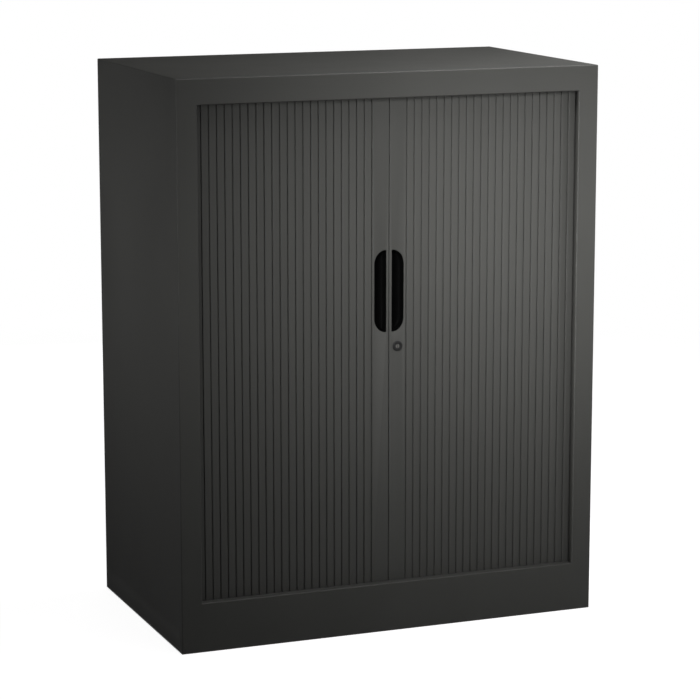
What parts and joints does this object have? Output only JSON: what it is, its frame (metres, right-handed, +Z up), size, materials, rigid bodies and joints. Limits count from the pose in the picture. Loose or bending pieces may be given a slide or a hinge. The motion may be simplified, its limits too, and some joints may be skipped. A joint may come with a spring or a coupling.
{
  "type": "tambour door cabinet",
  "caption": "Steel storage cabinet with two slatted tambour doors that slide sideways round the front corners, a lock, adjustable shelves and levelling feet.",
  "frame": {"origin": "on the ground under the middle of the cabinet", "axes": "+Z up, along the height; the doors face -Y; +X to the right seen from the front"},
  "size_m": [0.8, 0.47, 1.016],
  "materials": {
    "powder_coated_steel": "satin",
    "slat_plastic": "satin",
    "black_plastic": "matte",
    "track_plastic": "satin",
    "zinc_plated_steel": "bright",
    "lock_nickel": "satin"
  },
  "bodies": {
    "cabinet": {"top_panel": "powder_coated_steel", "ceiling_pan": "powder_coated_steel", "plinth": "powder_coated_steel", "base_pan": "powder_coated_steel", "inner_floor": "powder_coated_steel", "back_panel": "powder_coated_steel", "side_panel_left": "powder_coated_steel", "side_panel_right": "powder_coated_steel", "liner_left": "powder_coated_steel", "liner_right": "powder_coated_steel", "shelf_lower": "powder_coated_steel", "shelf_upper": "powder_coated_steel", "base_runner_left": "zinc_plated_steel", "base_runner_right": "zinc_plated_steel", "track_bottom_left": "track_plastic", "track_bottom_right": "track_plastic", "track_top_left": "track_plastic", "track_top_right": "track_plastic", "curtain_corner_left": "slat_plastic", "curtain_corner_right": "slat_plastic", "shelf_clip_lower_left_front": "zinc_plated_steel", "shelf_clip_lower_left_rear": "zinc_plated_steel", "shelf_clip_lower_right_front": "zinc_plated_steel", "shelf_clip_lower_right_rear": "zinc_plated_steel", "shelf_clip_upper_left_front": "zinc_plated_steel", "shelf_clip_upper_left_rear": "zinc_plated_steel", "shelf_clip_upper_right_front": "zinc_plated_steel", "shelf_clip_upper_right_rear": "zinc_plated_steel"},
    "left_door": {"leading_stile_left": "slat_plastic", "handle_cup_left": "black_plastic", "lock_keeper": "zinc_plated_steel"},
    "right_door": {"leading_stile_right": "slat_plastic", "handle_cup_right": "black_plastic", "lock_housing": "black_plastic"},
    "lock": {"lock_plug": "lock_nickel", "lock_hook": "zinc_plated_steel"},
    "left_strip_1": {"curtain_strip_left_1": "slat_plastic"},
    "left_strip_2": {"curtain_strip_left_2": "slat_plastic"},
    "left_strip_3": {"curtain_strip_left_3": "slat_plastic"},
    "left_strip_4": {"curtain_strip_left_4": "slat_plastic"},
    "left_strip_5": {"curtain_strip_left_5": "slat_plastic"},
    "left_strip_6": {"curtain_strip_left_6": "slat_plastic"},
    "left_strip_7": {"curtain_strip_left_7": "slat_plastic"},
    "left_tail": {"curtain_tail_left": "slat_plastic"},
    "right_strip_1": {"curtain_strip_right_1": "slat_plastic"},
    "right_strip_2": {"curtain_strip_right_2": "slat_plastic"},
    "right_strip_3": {"curtain_strip_right_3": "slat_plastic"},
    "right_strip_4": {"curtain_strip_right_4": "slat_plastic"},
    "right_strip_5": {"curtain_strip_right_5": "slat_plastic"},
    "right_strip_6": {"curtain_strip_right_6": "slat_plastic"},
    "right_strip_7": {"curtain_strip_right_7": "slat_plastic"},
    "right_tail": {"curtain_tail_right": "slat_plastic"},
    "foot_left_front": {"foot_left_front": "black_plastic"},
    "foot_left_rear": {"foot_left_rear": "black_plastic"},
    "foot_right_front": {"foot_right_front": "black_plastic"},
    "foot_right_rear": {"foot_right_rear": "black_plastic"}
  },
  "joints": [
    {"name": "left_door_slide", "type": "slide", "parent": "cabinet", "child": "left_door", "axis": [-1, 0, 0], "range_m": [0, 0.3024]},
    {"name": "right_door_slide", "type": "slide", "parent": "cabinet", "child": "right_door", "axis": [1, 0, 0], "range_m": [0, 0.3024]},
    {"name": "lock_turn", "type": "hinge", "parent": "right_door", "child": "lock", "pos_m": [0.0165, -0.217, 0.524], "axis": [0, 1, 0], "range_deg": [0, 90]},
    {"name": "left_strip_1_slide", "type": "slide", "parent": "cabinet", "child": "left_strip_1", "axis": [-1, 0, 0], "range_m": [0, 0.3024], "deforming": ["curtain_strip_left_1"]},
    {"name": "left_strip_2_slide", "type": "slide", "parent": "cabinet", "child": "left_strip_2", "axis": [-1, 0, 0], "range_m": [0, 0.2592], "deforming": ["curtain_strip_left_2"]},
    {"name": "left_strip_3_slide", "type": "slide", "parent": "cabinet", "child": "left_strip_3", "axis": [-1, 0, 0], "range_m": [0, 0.216], "deforming": ["curtain_strip_left_3"]},
    {"name": "left_strip_4_slide", "type": "slide", "parent": "cabinet", "child": "left_strip_4", "axis": [-1, 0, 0], "range_m": [0, 0.1728], "deforming": ["curtain_strip_left_4"]},
    {"name": "left_strip_5_slide", "type": "slide", "parent": "cabinet", "child": "left_strip_5", "axis": [-1, 0, 0], "range_m": [0, 0.1296], "deforming": ["curtain_strip_left_5"]},
    {"name": "left_strip_6_slide", "type": "slide", "parent": "cabinet", "child": "left_strip_6", "axis": [-1, 0, 0], "range_m": [0, 0.0864], "deforming": ["curtain_strip_left_6"]},
    {"name": "left_strip_7_slide", "type": "slide", "parent": "cabinet", "child": "left_strip_7", "axis": [-1, 0, 0], "range_m": [0, 0.0432], "deforming": ["curtain_strip_left_7"]},
    {"name": "left_tail_slide", "type": "slide", "parent": "cabinet", "child": "left_tail", "axis": [0, 1, 0], "range_m": [0, 0.3024]},
    {"name": "right_strip_1_slide", "type": "slide", "parent": "cabinet", "child": "right_strip_1", "axis": [1, 0, 0], "range_m": [0, 0.3024], "deforming": ["curtain_strip_right_1"]},
    {"name": "right_strip_2_slide", "type": "slide", "parent": "cabinet", "child": "right_strip_2", "axis": [1, 0, 0], "range_m": [0, 0.2592], "deforming": ["curtain_strip_right_2"]},
    {"name": "right_strip_3_slide", "type": "slide", "parent": "cabinet", "child": "right_strip_3", "axis": [1, 0, 0], "range_m": [0, 0.216], "deforming": ["curtain_strip_right_3"]},
    {"name": "right_strip_4_slide", "type": "slide", "parent": "cabinet", "child": "right_strip_4", "axis": [1, 0, 0], "range_m": [0, 0.1728], "deforming": ["curtain_strip_right_4"]},
    {"name": "right_strip_5_slide", "type": "slide", "parent": "cabinet", "child": "right_strip_5", "axis": [1, 0, 0], "range_m": [0, 0.1296], "deforming": ["curtain_strip_right_5"]},
    {"name": "right_strip_6_slide", "type": "slide", "parent": "cabinet", "child": "right_strip_6", "axis": [1, 0, 0], "range_m": [0, 0.0864], "deforming": ["curtain_strip_right_6"]},
    {"name": "right_strip_7_slide", "type": "slide", "parent": "cabinet", "child": "right_strip_7", "axis": [1, 0, 0], "range_m": [0, 0.0432], "deforming": ["curtain_strip_right_7"]},
    {"name": "right_tail_slide", "type": "slide", "parent": "cabinet", "child": "right_tail", "axis": [0, 1, 0], "range_m": [0, 0.3024]},
    {"name": "foot_left_front_level", "type": "slide", "parent": "cabinet", "child": "foot_left_front", "axis": [0, 0, -1], "range_m": [0, 0.015]},
    {"name": "foot_left_rear_level", "type": "slide", "parent": "cabinet", "child": "foot_left_rear", "axis": [0, 0, -1], "range_m": [0, 0.015]},
    {"name": "foot_right_front_level", "type": "slide", "parent": "cabinet", "child": "foot_right_front", "axis": [0, 0, -1], "range_m": [0, 0.015]},
    {"name": "foot_right_rear_level", "type": "slide", "parent": "cabinet", "child": "foot_right_rear", "axis": [0, 0, -1], "range_m": [0, 0.015]}
  ],
  "couplings": [
    {"joint": "left_strip_1_slide", "follows": "left_door_slide", "ratio": 1},
    {"joint": "left_strip_2_slide", "follows": "left_door_slide", "ratio": 0.85714},
    {"joint": "left_strip_3_slide", "follows": "left_door_slide", "ratio": 0.71428},
    {"joint": "left_strip_4_slide", "follows": "left_door_slide", "ratio": 0.57143},
    {"joint": "left_strip_5_slide", "follows": "left_door_slide", "ratio": 0.42857},
    {"joint": "left_strip_6_slide", "follows": "left_door_slide", "ratio": 0.28571},
    {"joint": "left_strip_7_slide", "follows": "left_door_slide", "ratio": 0.14286},
    {"joint": "left_tail_slide", "follows": "left_door_slide", "ratio": 1},
    {"joint": "right_strip_1_slide", "follows": "right_door_slide", "ratio": 1},
    {"joint": "right_strip_2_slide", "follows": "right_door_slide", "ratio": 0.85714},
    {"joint": "right_strip_3_slide", "follows": "right_door_slide", "ratio": 0.71428},
    {"joint": "right_strip_4_slide", "follows": "right_door_slide", "ratio": 0.57143},
    {"joint": "right_strip_5_slide", "follows": "right_door_slide", "ratio": 0.42857},
    {"joint": "right_strip_6_slide", "follows": "right_door_slide", "ratio": 0.28571},
    {"joint": "right_strip_7_slide", "follows": "right_door_slide", "ratio": 0.14286},
    {"joint": "right_tail_slide", "follows": "right_door_slide", "ratio": 1}
  ]
}
